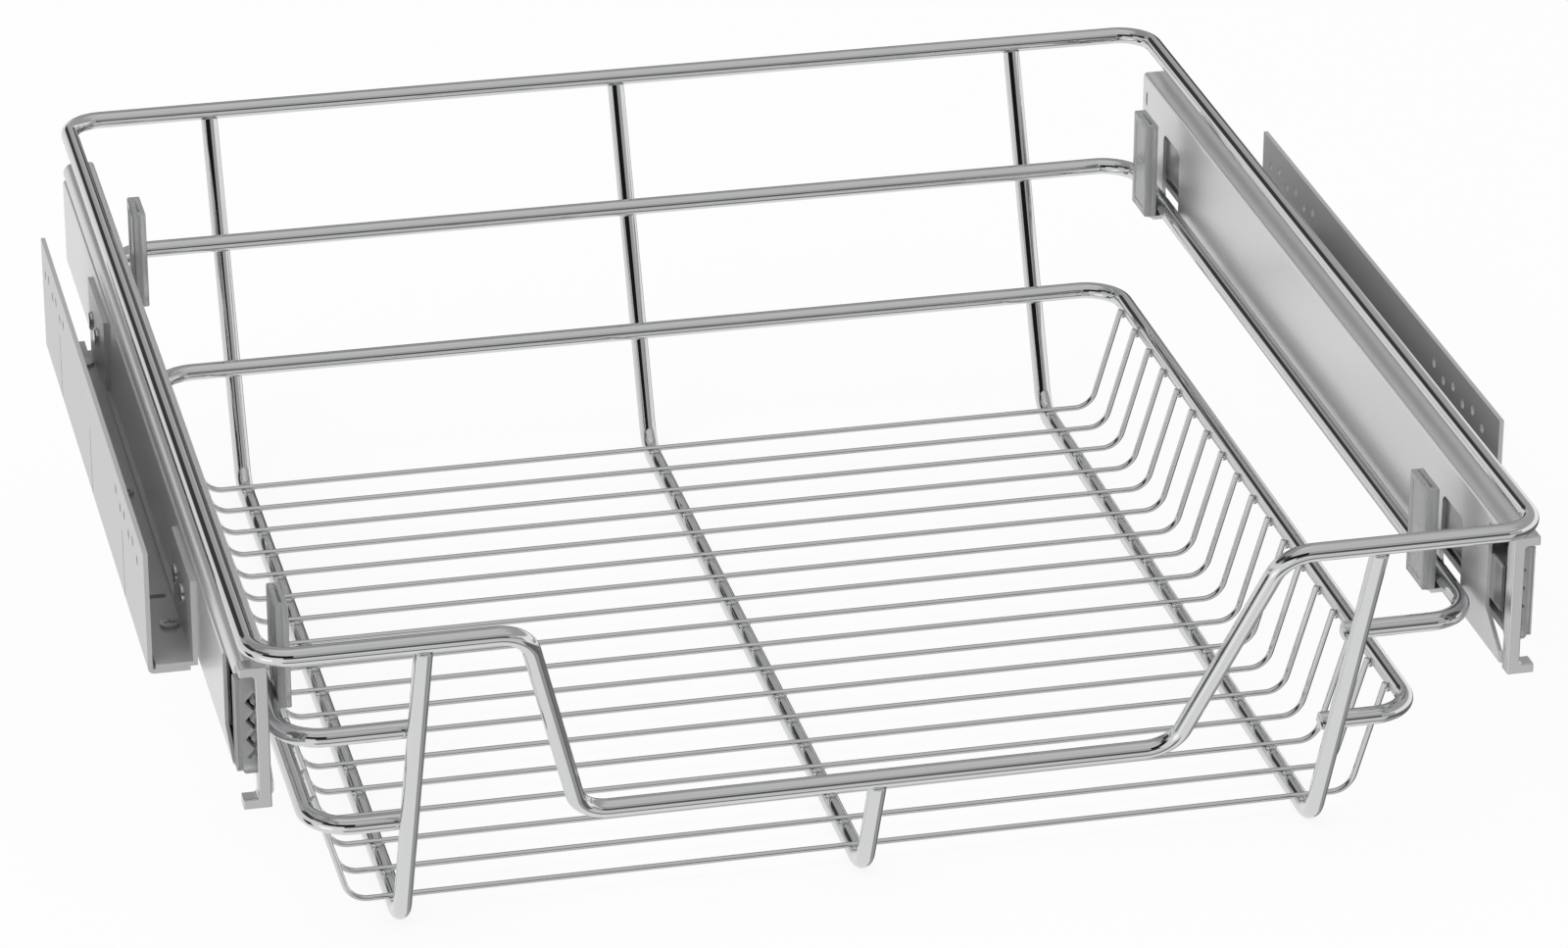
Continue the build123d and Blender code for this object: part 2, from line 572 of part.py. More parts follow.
# ================================================================ cabinet bracket
PLATE_IN = PLATE_OUT - BRACKET_SHEET
PLATE_TOP = RIM_Z - BRACKET_DROP
FLOOR_BOTTOM = PLATE_TOP - BRACKET_HEIGHT
WALL_OUT = RUNNER_OUT + BRACKET_SHEET
FASTENER_X = RUNNER_OUT + FASTENER_OFFSET
FLOOR_RIVET_Y = REAR_EAR_REAR_Y - FLOOR_RIVET_INSET
FLOOR_SCREW_Y = BRACKET_MIDDLE_Y + FLOOR_SCREW_SHIFT
CAM_SCREW_Y = BRACKET_FRONT_Y + CAM_SCREW_INSET


def screw_holes():
    """Places of the plate's screw holes, as (y, z): two staggered rows in each of two groups."""
    upper_z = PLATE_TOP - SCREW_ROW_DROP
    lower_z = upper_z - SCREW_ROW_GAP
    quarter = SCREW_PITCH / 4
    front_y = BRACKET_FRONT_Y + SCREW_GROUP_FRONT_INSET
    rear_y = BRACKET_REAR_Y - SCREW_GROUP_REAR_INSET
    rows = [(front_y + quarter, upper_z), (front_y - quarter, lower_z)]
    rows += [(rear_y - quarter, upper_z), (rear_y + quarter, lower_z)]
    middle = (HOLES_PER_ROW - 1) / 2
    return [(y + (i - middle) * SCREW_PITCH, z) for y, z in rows for i in range(HOLES_PER_ROW)]


def make_outer_angle():
    """Plate that is screwed to the cabinet's side, with a floor bent inwards."""
    with BuildPart() as angle:
        box_between((PLATE_IN, BRACKET_FRONT_Y, FLOOR_BOTTOM), (PLATE_OUT, BRACKET_REAR_Y, PLATE_TOP))
        box_between(
            (PLATE_OUT - BRACKET_FLOOR_WIDTH, BRACKET_FRONT_Y, FLOOR_BOTTOM),
            (PLATE_OUT, BRACKET_REAR_Y, FLOOR_BOTTOM + BRACKET_SHEET),
        )
        fillet(angle.edges().filter_by(Axis.Y).group_by(Axis.Z)[0].sort_by(Axis.X)[-1], BRACKET_BEND_R)
        with Locations([Plane(origin=(PLATE_OUT, y, z), z_dir=(1, 0, 0)) for y, z in screw_holes()]):
            Hole(SCREW_HOLE / 2, depth=2 * BRACKET_SHEET)
        for i in range(SLIT_COUNT):
            y = BRACKET_MIDDLE_Y + SLIT_SHIFT + (i - (SLIT_COUNT - 1) / 2) * SLIT_PITCH
            box_between(
                (PLATE_IN, y - SLIT_WIDTH / 2, FLOOR_BOTTOM + BRACKET_SHEET),
                (PLATE_OUT, y + SLIT_WIDTH / 2, FLOOR_BOTTOM + SLIT_HEIGHT),
                mode=Mode.SUBTRACT,
            )
        with Locations([(FASTENER_X, y, FLOOR_BOTTOM) for y in (FLOOR_RIVET_Y, FLOOR_SCREW_Y, CAM_SCREW_Y)]):
            Cylinder(SMALL_SCREW / 2, 3 * BRACKET_SHEET, mode=Mode.SUBTRACT)
    save_pair(angle.part, "bracket_outer_angle")


def make_inner_angle():
    """Angle that carries the cabinet rail on two ears, fixed on the outer angle's floor."""
    with BuildPart() as angle:
        box_between(
            (RUNNER_OUT, BRACKET_FRONT_Y, EAR_Z),
            (PLATE_IN - INNER_FLOOR_GAP, REAR_EAR_REAR_Y, EAR_Z + BRACKET_SHEET),
        )
        box_between((RUNNER_OUT, BRACKET_FRONT_Y, EAR_Z), (WALL_OUT, REAR_EAR_REAR_Y, EAR_Z + KERB_HEIGHT))
        fillet(angle.edges().filter_by(Axis.Y).group_by(Axis.Z)[0].sort_by(Axis.X)[0], BRACKET_BEND_R)
        for rear_y in (FRONT_EAR_REAR_Y, REAR_EAR_REAR_Y):
            box_between((RUNNER_OUT, rear_y - EAR_LENGTH, EAR_Z), (WALL_OUT, rear_y, EAR_Z + EAR_HEIGHT))
        with Locations([Plane(origin=(WALL_OUT, y, RIVET_Z), z_dir=(1, 0, 0)) for y in RIVET_YS]):
            Hole(RIVET / 2, depth=2 * BRACKET_SHEET)
        with Locations([(FASTENER_X, y, EAR_Z) for y in (FLOOR_RIVET_Y, FLOOR_SCREW_Y, CAM_SCREW_Y)]):
            Cylinder(SMALL_SCREW / 2, 3 * BRACKET_SHEET, mode=Mode.SUBTRACT)
        with BuildSketch(Plane.XY.offset(EAR_Z)):
            with Locations((RUNNER_OUT + GUIDE_SLOT_OFFSET, BRACKET_FRONT_Y + GUIDE_SLOT_INSET)):
                SlotOverall(GUIDE_SLOT_LENGTH, GUIDE_SLOT_WIDTH)
        extrude(amount=BRACKET_SHEET, mode=Mode.SUBTRACT)
    save_pair(angle.part, "bracket_inner_angle")


def make_ear_rivets():
    with BuildPart() as rivets:
        for y in RIVET_YS:
            with Locations(Plane(origin=(RUNNER_OUT - RAIL_SHEET, y, RIVET_Z), z_dir=(1, 0, 0))):
                shank = RAIL_SHEET + BRACKET_SHEET
                Cylinder(RIVET / 2 - RIVET_PLAY, shank, align=(Align.CENTER, Align.CENTER, Align.MIN))
            with Locations(Plane(origin=(WALL_OUT, y, RIVET_Z), z_dir=(1, 0, 0))):
                Cylinder(RIVET_HEAD / 2, RIVET_HEAD_HEIGHT, align=(Align.CENTER, Align.CENTER, Align.MIN))
        fillet(rivets.edges().filter_by(GeomType.CIRCLE).group_by(Axis.X)[-1], RIVET_HEAD_HEIGHT * 0.8)
    save_pair(rivets.part, "ear_rivets")


def make_floor_fasteners():
    """Rivet, small screw and cam screw that hold the two angles together."""
    top_z = EAR_Z + BRACKET_SHEET
    heads = [
        (FLOOR_RIVET_Y, RIVET_HEAD, RIVET_HEAD_HEIGHT, False),
        (FLOOR_SCREW_Y, SMALL_SCREW_HEAD, CAM_HEAD_HEIGHT, True),
        (CAM_SCREW_Y, CAM_HEAD, CAM_HEAD_HEIGHT, True),
    ]
    with BuildPart() as screws:
        for y, head, head_height, driven in heads:
            with Locations((FASTENER_X, y, FLOOR_BOTTOM)):
                shank = 2 * BRACKET_SHEET
                Cylinder(SMALL_SCREW / 2 - RIVET_PLAY, shank, align=(Align.CENTER, Align.CENTER, Align.MIN))
            with Locations((FASTENER_X, y, top_z)):
                Cylinder(head / 2, head_height, align=(Align.CENTER, Align.CENTER, Align.MIN))
            if driven:
                with Locations((FASTENER_X, y, top_z + head_height)):
                    Box(head * 0.6, DRIVE_WIDTH, 2 * DRIVE_DEPTH, mode=Mode.SUBTRACT)
                    Box(DRIVE_WIDTH, head * 0.6, 2 * DRIVE_DEPTH, mode=Mode.SUBTRACT)
    save_pair(screws.part, "bracket_fasteners")


make_outer_angle()
make_inner_angle()
make_ear_rivets()
make_floor_fasteners()
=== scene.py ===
"""Looks of a pull-out wire basket on two ball runners: chrome wire, zinc sheet, smoky clips."""
import json
import math

import bpy
from mathutils import Matrix, Vector


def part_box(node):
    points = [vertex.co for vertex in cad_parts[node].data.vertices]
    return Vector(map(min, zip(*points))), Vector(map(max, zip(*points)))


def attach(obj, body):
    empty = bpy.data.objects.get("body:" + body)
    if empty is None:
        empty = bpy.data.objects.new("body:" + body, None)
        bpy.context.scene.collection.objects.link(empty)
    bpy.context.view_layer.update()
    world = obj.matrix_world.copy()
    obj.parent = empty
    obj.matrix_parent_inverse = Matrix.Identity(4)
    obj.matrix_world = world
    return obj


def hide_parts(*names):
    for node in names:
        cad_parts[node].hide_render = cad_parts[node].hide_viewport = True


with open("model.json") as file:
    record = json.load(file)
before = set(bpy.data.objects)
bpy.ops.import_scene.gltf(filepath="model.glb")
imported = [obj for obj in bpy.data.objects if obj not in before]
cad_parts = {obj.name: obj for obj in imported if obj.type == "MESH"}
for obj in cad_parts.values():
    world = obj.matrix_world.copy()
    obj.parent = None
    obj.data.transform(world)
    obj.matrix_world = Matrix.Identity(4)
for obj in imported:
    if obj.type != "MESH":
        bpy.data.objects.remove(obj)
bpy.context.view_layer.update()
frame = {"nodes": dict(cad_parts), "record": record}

MM = 0.001

# ---------------------------------------------------------------- the basket's own sizes
# wires
FRAME_WIRE_R = 3.75 * MM
FLOOR_WIRE_R = 1.25 * MM
FRAME_FACETS = 28             # sides of a wire's section
FLOOR_FACETS = 14
BEND_STEP = math.radians(6.0)
END_ROUND = 0.35              # rounded-off part of a cut end, as a share of the wire's radius
END_DOME = 0.6                # how far the cut end stands out, as a share of its rounding

RIM_CORNER_R = 16.0 * MM
RING_CORNER_R = 18.0 * MM
DIP_BEND_R = 15.0 * MM
FOOT_BEND_R = 15.0 * MM
FLOOR_WIRE_BEND_R = 10.0 * MM
DIP_TOP_X = 151.0 * MM        # where the rim starts down into the front dip
DIP_LOW_X = 122.0 * MM
LEG_LEAN = math.tan(math.radians(24.4))    # how far a leg leans out for each step up
STUB_X = 187.0 * MM           # cut ends of the two rings at the front
FLOOR_CORNER_X = 209.53 * MM  # where a floor wire turns up
FLOOR_TIP_X = 223.19 * MM
FLOOR_TIP_Z = 56.8 * MM
LEG_END_DROP = 3.55 * MM      # a leg's cut end, below the middle of the rim that it is welded to

# welds
BEAD_SEGMENTS = 12
BEAD_RINGS = 8
BEAD_SINK = 0.2               # part of the mound below its middle, as a share of its height
BEAD_FOOT = 0.5               # height of the flared foot, as a share of the mound's
BEAD_FLARE = 1.25             # how much wider the foot is
WELD_ACROSS = 2.0 * MM        # half sizes of the bead where two wires are welded
WELD_ALONG = 2.0 * MM
WELD_HEIGHT = 1.1 * MM
WELD_Z = 7.4 * MM             # level of the beads, at the top of the bearers
TIP_WELD_SHARE = 0.6          # size of a bead at a floor wire's tip, against one on a bearer
TIP_WELD_TALL = 1.2           # the same for its height
TIP_WELD_X = 224.0 * MM
TIP_WELD_Z = 54.2 * MM

# sheet and cast pieces
SHEET_EDGE = 0.25 * MM        # radius that pressing leaves on the sheet's edges
CAST_EDGE = 0.7 * MM          # asked for; the end piece's own small corners hold it to 0.55 mm
EDGE_STEPS = 2

# buffers
WING_THICK = 2.7 * MM         # the buffer's outboard wing, which the cabinet rail's front end meets
WING_LONG = 6.0 * MM
WING_RAIL_GAP = 0.4 * MM
WING_SHORTER = 1.0 * MM       # than the rail's height
WING_MARGIN = 0.7 * MM        # from the wing's outboard face to the rail's
WING_SIDE_EDGE = 0.9 * MM     # flat edge round the sunk panel in the wing's side
WING_FRONT_EDGE = 0.45 * MM   # and round the one in its front
WING_PANEL_SLOPE = 0.125 * MM
WING_PANEL_DEPTH = 0.5 * MM
WING_EDGE_R = 0.3 * MM

# clips
CLIP_EDGE_R = 0.7 * MM
CLIP_WALL = 1.55 * MM         # wall round the clip's slot
CLIP_PANEL_EDGE = 2.6 * MM    # flat edge round a clip's side panel
CLIP_PANEL_DEPTH = 0.4 * MM
CLIP_EDGE_STEPS = 3

# modelling
SAME_POINT = 0.01 * MM        # points of a wire nearer than this are one
SAME_CAD_POINT = 0.005 * MM
SAME_PLANE = math.radians(0.5)
SHARP_EDGE = math.radians(55)      # a sheet's edge this sharp gets its radius
SMOOTH_WIRE = math.radians(50)     # faces that meet flatter than this are shaded as one
SMOOTH_SHEET = math.radians(60)
SMOOTH_MOULDING = math.radians(35)
FACES_THAT_WAY = 0.99         # a face looks along an axis where its normal has more than this of it


# ---------------------------------------------------------------- small helpers
def linear(hex_colour, alpha=1.0):
    """An sRGB hex colour as Blender's linear colour."""
    channels = [int(hex_colour[i:i + 2], 16) / 255 for i in (1, 3, 5)]
    return [c / 12.92 if c <= 0.04045 else ((c + 0.055) / 1.055) ** 2.4 for c in channels] + [alpha]


def add_node(tree, kind, settings=None, inputs=None):
    """One shader node, its settings by name, its inputs by name or number as values or sockets."""
    node = tree.nodes.new(kind)
    for key, value in (settings or {}).items():
        setattr(node, key, value)
    for key, value in (inputs or {}).items():
        if isinstance(value, bpy.types.NodeSocket):
            tree.links.new(value, node.inputs[key])
        else:
            node.inputs[key].default_value = value
    return node


def new_material(name):
    """An empty material and its node tree."""
    material = bpy.data.materials.new(name)
    material.use_nodes = True
    material.node_tree.nodes.clear()
    return material, material.node_tree


def only(*pieces):
    """Selects these pieces and nothing else, the first one active."""
    bpy.ops.object.select_all(action="DESELECT")
    for piece in pieces:
        piece.select_set(True)
    bpy.context.view_layer.objects.active = pieces[0]


def to_origin(piece):
    """Puts the piece's place, turn and scale into its mesh."""
    only(piece)
    bpy.ops.object.transform_apply(location=True, rotation=True, scale=True)


def select_faces(piece, wanted):
    """In edit mode: selects the faces for which wanted(centre, normal) holds."""
    bpy.ops.mesh.select_all(action="DESELECT")
    bpy.ops.object.mode_set(mode="OBJECT")
    place = piece.matrix_world
    turn = place.to_3x3()
    for face in piece.data.polygons:
        face.select = bool(wanted(place @ face.center, (turn @ face.normal).normalized()))
    bpy.ops.object.mode_set(mode="EDIT")
    bpy.ops.mesh.select_mode(type="FACE")


def copy_piece(piece, offset):
    """A copy with a mesh of its own, moved by the offset."""
    only(piece)
    bpy.ops.object.duplicate(linked=False)
    twin = bpy.context.active_object
    bpy.ops.transform.translate(value=offset)
    to_origin(twin)
    return twin


def hand_over(piece, name, body, material, replaced=()):
    """Names a finished piece, gives it its finish and body, and says what it replaces."""
    piece.name = name
    piece.data.name = name
    piece.data.materials.clear()
    piece.data.materials.append(material)
    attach(piece, body)
    if replaced:
        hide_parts(*replaced)


# ---------------------------------------------------------------- materials
def make_chrome():
    """Bright chrome plate on drawn steel wire: a clean mirror with a faint haze here and there."""
    material, tree = new_material("bright_chrome_plate_on_drawn_wire")
    place = add_node(tree, "ShaderNodeTexCoord").outputs["Object"]
    # the plating's haze comes in patches of about 20 mm
    haze = add_node(tree, "ShaderNodeTexNoise", inputs={
        "Vector": place, "Scale": 1 / (20 * MM), "Detail": 3.0})
    rough = add_node(tree, "ShaderNodeMapRange", inputs={
        "Value": haze.outputs[0], "To Min": 0.03, "To Max": 0.07})
    tone = add_node(tree, "ShaderNodeMix", {"data_type": "RGBA"},
                    {0: haze.outputs[0], 6: linear("#d9dadb"), 7: linear("#dfdfe0")})
    shader = add_node(tree, "ShaderNodeBsdfPrincipled", inputs={
        "Metallic": 1.0, "Base Color": tone.outputs[2], "Roughness": rough.outputs[0]})
    add_node(tree, "ShaderNodeOutputMaterial", inputs={"Surface": shader.outputs[0]})
    return material


def make_zinc_sheet(name, metal_share, dull, bright):
    """Bright zinc plate on cold-rolled sheet: satin, with the mill's rolling lines along it.

    The passivating film on the zinc scatters some of the light and leaves metal_share of it
    to the metal's mirror. A dull and a bright tone mix in a fine grit.
    """
    material, tree = new_material(name)
    place = add_node(tree, "ShaderNodeTexCoord").outputs["Object"]
    # rolling lines are 0.05 mm apart; drawn at 0.8 mm across and 30 mm along so that they show
    along = add_node(tree, "ShaderNodeMapping", inputs={
        "Vector": place, "Scale": (1 / (0.8 * MM), 1 / (30 * MM), 1 / (0.8 * MM))})
    lines = add_node(tree, "ShaderNodeTexNoise", inputs={
        "Vector": along.outputs[0], "Scale": 1.0, "Detail": 2.0})
    grit = add_node(tree, "ShaderNodeTexNoise", inputs={
        "Vector": place, "Scale": 1 / (1.2 * MM), "Detail": 2.0})
    rough = add_node(tree, "ShaderNodeMapRange", inputs={
        "Value": lines.outputs[0], "To Min": 0.28, "To Max": 0.34})
    tone = add_node(tree, "ShaderNodeMix", {"data_type": "RGBA"},
                    {0: grit.outputs[0], 6: linear(dull), 7: linear(bright)})
    bump = add_node(tree, "ShaderNodeBump", inputs={
        "Strength": 0.03, "Distance": 0.05 * MM, "Height": grit.outputs[0]})
    shader = add_node(tree, "ShaderNodeBsdfPrincipled", inputs={
        "Metallic": metal_share, "Base Color": tone.outputs[2], "Roughness": rough.outputs[0],
        "Normal": bump.outputs[0]})
    add_node(tree, "ShaderNodeOutputMaterial", inputs={"Surface": shader.outputs[0]})
    return material


def make_rail_steel_painted_shade():
    """Zinc plate of the inner rails, which run in grease: both tones darker than the dry sheet as
    painted shade of the narrow gap between the rails.
    """
    material, tree = new_material("greased_rail_painted_shade")
    place = add_node(tree, "ShaderNodeTexCoord").outputs["Object"]
    # wipe marks of grease, about 6 mm across and 60 mm along
    along = add_node(tree, "ShaderNodeMapping", inputs={
        "Vector": place, "Scale": (1 / (6 * MM), 1 / (60 * MM), 1 / (6 * MM))})
    film = add_node(tree, "ShaderNodeTexNoise", inputs={
        "Vector": along.outputs[0], "Scale": 1.0, "Detail": 2.0})
    rough = add_node(tree, "ShaderNodeMapRange", inputs={
        "Value": film.outputs[0], "To Min": 0.18, "To Max": 0.3})
    # the dark tones are painted shade for the gap between the rails; the noise only mottles them
    # with wipe marks
    tone = add_node(tree, "ShaderNodeMix", {"data_type": "RGBA"},
                    {0: film.outputs[0], 6: linear("#8e8e8f"), 7: linear("#a6a6a7")})
    shader = add_node(tree, "ShaderNodeBsdfPrincipled", inputs={
        "Metallic": 0.9, "Base Color": tone.outputs[2], "Roughness": rough.outputs[0]})
    add_node(tree, "ShaderNodeOutputMaterial", inputs={"Surface": shader.outputs[0]})
    return material


def make_cast_zinc():
    """Die-cast zinc, plated like the sheet: a little duller, with the mould's fine pitting."""
    material, tree = new_material("plated_die_cast_zinc")
    place = add_node(tree, "ShaderNodeTexCoord").outputs["Object"]
    # the pits are 0.1 mm wide; drawn at 0.9 mm so that they show
    pits = add_node(tree, "ShaderNodeTexNoise", inputs={
        "Vector": place, "Scale": 1 / (0.9 * MM), "Detail": 2.0})
    tone = add_node(tree, "ShaderNodeMix", {"data_type": "RGBA"},
                    {0: pits.outputs[0], 6: linear("#d0d0d1"), 7: linear("#d9d9da")})
    bump = add_node(tree, "ShaderNodeBump", inputs={
        "Strength": 0.04, "Distance": 0.05 * MM, "Height": pits.outputs[0]})
    shader = add_node(tree, "ShaderNodeBsdfPrincipled", inputs={
        "Metallic": 0.95, "Base Color": tone.outputs[2], "Roughness": 0.22,
        "Normal": bump.outputs[0]})
    add_node(tree, "ShaderNodeOutputMaterial", inputs={"Surface": shader.outputs[0]})
    return material


def make_fastener_steel():
    """Zinc-plated cold-headed rivets and screws, ground steel balls: glossier than the sheet."""
    material, tree = new_material("plated_cold_headed_steel")
    place = add_node(tree, "ShaderNodeTexCoord").outputs["Object"]
    # rub marks of the heading tools, about 1.4 mm apart
    marks = add_node(tree, "ShaderNodeTexNoise", inputs={
        "Vector": place, "Scale": 1 / (1.4 * MM), "Detail": 3.0})
    rough = add_node(tree, "ShaderNodeMapRange", inputs={
        "Value": marks.outputs[0], "To Min": 0.12, "To Max": 0.26})
    tone = add_node(tree, "ShaderNodeMix", {"data_type": "RGBA"},
                    {0: marks.outputs[0], 6: linear("#cfcfd0"), 7: linear("#dcdcdd")})
    shader = add_node(tree, "ShaderNodeBsdfPrincipled", inputs={
        "Metallic": 1.0, "Base Color": tone.outputs[2], "Roughness": rough.outputs[0]})
    add_node(tree, "ShaderNodeOutputMaterial", inputs={"Surface": shader.outputs[0]})
    return material


def make_smoky_plastic():
    """Smoky polycarbonate, moulded: grey, see-through a little way in, faint upright flow lines."""
    material, tree = new_material("smoky_moulded_polycarbonate")
    place = add_node(tree, "ShaderNodeTexCoord").outputs["Object"]
    # flow lines about 1.5 mm apart, 40 mm long
    flow = add_node(tree, "ShaderNodeMapping", inputs={
        "Vector": place, "Scale": (1 / (1.5 * MM), 1 / (1.5 * MM), 1 / (40 * MM))})
    lines = add_node(tree, "ShaderNodeTexNoise", inputs={
        "Vector": flow.outputs[0], "Scale": 1.0, "Detail": 2.0})
    tone = add_node(tree, "ShaderNodeMix", {"data_type": "RGBA"},
                    {0: lines.outputs[0], 6: linear("#b4b5b5"), 7: linear("#e0e1e1")})
    shader = add_node(tree, "ShaderNodeBsdfPrincipled", inputs={
        "Base Color": tone.outputs[2], "Roughness": 0.22, "IOR": 1.58, "Transmission Weight": 0.6})
    add_node(tree, "ShaderNodeOutputMaterial", inputs={"Surface": shader.outputs[0]})
    return material


def make_acetal():
    """Natural acetal, moulded with a fine matt grain: milky, a thin block glows in the light."""
    material, tree = new_material("natural_moulded_acetal")
    place = add_node(tree, "ShaderNodeTexCoord").outputs["Object"]
    # the mould's grain is 0.2 mm; drawn at 0.7 mm so that it shows
    grain = add_node(tree, "ShaderNodeTexNoise", inputs={
        "Vector": place, "Scale": 1 / (0.7 * MM), "Detail": 2.0})
    tone = add_node(tree, "ShaderNodeMix", {"data_type": "RGBA"},
                    {0: grain.outputs[0], 6: linear("#c4c5c5"), 7: linear("#d6d7d7")})
    bump = add_node(tree, "ShaderNodeBump", inputs={
        "Strength": 0.1, "Distance": 0.05 * MM, "Height": grain.outputs[0]})
    shader = add_node(tree, "ShaderNodeBsdfPrincipled", inputs={
        "Base Color": tone.outputs[2], "Roughness": 0.3, "IOR": 1.48, "Transmission Weight": 0.55,
        "Normal": bump.outputs[0]})
    add_node(tree, "ShaderNodeOutputMaterial", inputs={"Surface": shader.outputs[0]})
    return material


chrome = make_chrome()
zinc_sheet = make_zinc_sheet(
    "bright_zinc_plated_sheet", metal_share=0.72, dull="#dededf", bright="#e4e4e5")
bracket_sheet = make_zinc_sheet(
    "passivated_zinc_plated_bracket", metal_share=0.42, dull="#c0c0c1", bright="#c9c9ca")
rail_steel_painted_shade = make_rail_steel_painted_shade()
cast_zinc = make_cast_zinc()
fastener_steel = make_fastener_steel()
smoky_plastic = make_smoky_plastic()
acetal = make_acetal()
FINISH = {
    "chrome_wire": chrome, "zinc_plated_steel": zinc_sheet, "cast_zinc": cast_zinc,
    "bright_steel": fastener_steel, "clear_grey_plastic": smoky_plastic, "grey_plastic": acetal,
}
slot_of = {part["node"]: part["material_slot"] for part in frame["record"]["subparts"]}
for node_name, node in frame["nodes"].items():
    node.data.materials.clear()
    # the inner rails get the darker steel, painted shade for the narrow gap they run in
    is_inner_rail = node_name.endswith(("middle_rail", "drawer_rail"))
    node.data.materials.append(rail_steel_painted_shade if is_inner_rail else FINISH[slot_of[node_name]])


# ---------------------------------------------------------------- bent wires
BEARER_NODES = ["left_bearer_wire", "middle_bearer_wire", "right_bearer_wire"]
FLOOR_WIRE_NODES = sorted(name for name in frame["nodes"] if name.startswith("floor_wire_"))


def bent_wire(radius, facets, route, bends, closed=False):
    """A wire: a ring of edges, extruded along each straight of the route, spun round each bend."""
    points = [Vector(point) for point in route]
    start = (points[1] - points[0]).normalized()
    bpy.ops.object.select_all(action="DESELECT")
    bpy.ops.mesh.primitive_circle_add(
        vertices=facets, radius=radius, fill_type="NOTHING", location=points[0],
        rotation=start.to_track_quat("Z", "Y").to_euler())
    wire = bpy.context.active_object
    bpy.ops.object.mode_set(mode="EDIT")
    bpy.ops.mesh.select_mode(type="VERT")    # the last piece may have left it on faces
    bpy.ops.mesh.select_all(action="SELECT")
    here = points[0]
    for before, corner, after, bend in zip(points, points[1:], points[2:], bends):
        way_in, way_out = (corner - before).normalized(), (after - corner).normalized()
        turn = way_in.angle(way_out)
        reach = bend * math.tan(turn / 2)
        bend_start = corner - way_in * reach
        axis = way_in.cross(way_out).normalized()    # spin turns the other way round it
        bpy.ops.mesh.extrude_region_move(TRANSFORM_OT_translate={"value": bend_start - here})
        bpy.ops.mesh.spin(steps=math.ceil(turn / BEND_STEP), angle=turn,
                          center=bend_start + axis.cross(way_in) * bend, axis=-axis)
        here = corner + way_out * reach
    bpy.ops.mesh.extrude_region_move(TRANSFORM_OT_translate={"value": points[-1] - here})
    bpy.ops.mesh.select_all(action="SELECT")
    if closed:
        bpy.ops.mesh.remove_doubles(threshold=SAME_POINT)
    else:
        bpy.ops.mesh.fill_holes(sides=0)
    bpy.ops.mesh.select_all(action="SELECT")
    bpy.ops.mesh.normals_make_consistent(inside=False)
    if not closed:
        bpy.ops.mesh.select_all(action="DESELECT")
        bpy.ops.mesh.select_mode(type="FACE")
        bpy.ops.mesh.select_face_by_sides(number=facets, type="EQUAL", extend=False)
        bpy.ops.mesh.inset(thickness=radius * END_ROUND, depth=radius * END_ROUND * END_DOME,
                           use_individual=True)
    bpy.ops.object.mode_set(mode="OBJECT")
    to_origin(wire)
    bpy.ops.object.shade_smooth_by_angle(angle=SMOOTH_WIRE)
    return wire


def centre_line(node, radius):
    """The low and high corners of a bent wire's centre line, from the CAD wire's box."""
    low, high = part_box(node)
    inset = Vector((radius, radius, radius))
    return low + inset, high - inset


def make_rim():
    """The closed top wire: round the back and sides, and down into the dip at the front."""
    low, high = centre_line("top_rim_wire", FRAME_WIRE_R)
    top, side, rear, front = high.z, high.x, high.y, low.y
    dip_z = low.z
    dip_y = rear - (top - dip_z) * LEG_LEAN
    route = [(0, rear, top), (side, rear, top), (side, front, top), (DIP_TOP_X, front, top),
             (DIP_LOW_X, -dip_y, dip_z), (-DIP_LOW_X, -dip_y, dip_z), (-DIP_TOP_X, front, top),
             (-side, front, top), (-side, rear, top), (0, rear, top)]
    bends = [RIM_CORNER_R] * 2 + [DIP_BEND_R] * 4 + [RIM_CORNER_R] * 2
    rim = bent_wire(FRAME_WIRE_R, FRAME_FACETS, route, bends, closed=True)
    hand_over(rim, "rim_wire", "basket", chrome, ["top_rim_wire"])


def make_ring(node, name):
    """A level wire round three sides, with a short cut-off end on each side of the front."""
    low, high = centre_line(node, FRAME_WIRE_R)
    level = (low.z + high.z) / 2
    route = [(STUB_X, low.y, level), (high.x, low.y, level), (high.x, high.y, level),
             (low.x, high.y, level), (low.x, low.y, level), (-STUB_X, low.y, level)]
    ring = bent_wire(FRAME_WIRE_R, FRAME_FACETS, route, [RING_CORNER_R] * 4)
    hand_over(ring, name, "basket", chrome, [node])


def make_bearer(node, name):
    """One wire down the back, under the floor and up the front."""
    low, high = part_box(node)
    rim_low, rim_high = centre_line("top_rim_wire", FRAME_WIRE_R)
    across = (low.x + high.x) / 2
    foot_z = low.z + FRAME_WIRE_R

    def leg_y(level):
        return rim_high.y - (rim_high.z - level) * LEG_LEAN

    rear_top = rim_high.z - LEG_END_DROP
    # the outer two reach the rim at the front as well, the middle one ends under the dip
    front_top = rear_top if across else rim_low.z - LEG_END_DROP
    route = [(across, leg_y(rear_top), rear_top), (across, leg_y(foot_z), foot_z),
             (across, -leg_y(foot_z), foot_z), (across, -leg_y(front_top), front_top)]
    bearer = bent_wire(FRAME_WIRE_R, FRAME_FACETS, route, [FOOT_BEND_R] * 2)
    hand_over(bearer, name, "basket", chrome, [node])


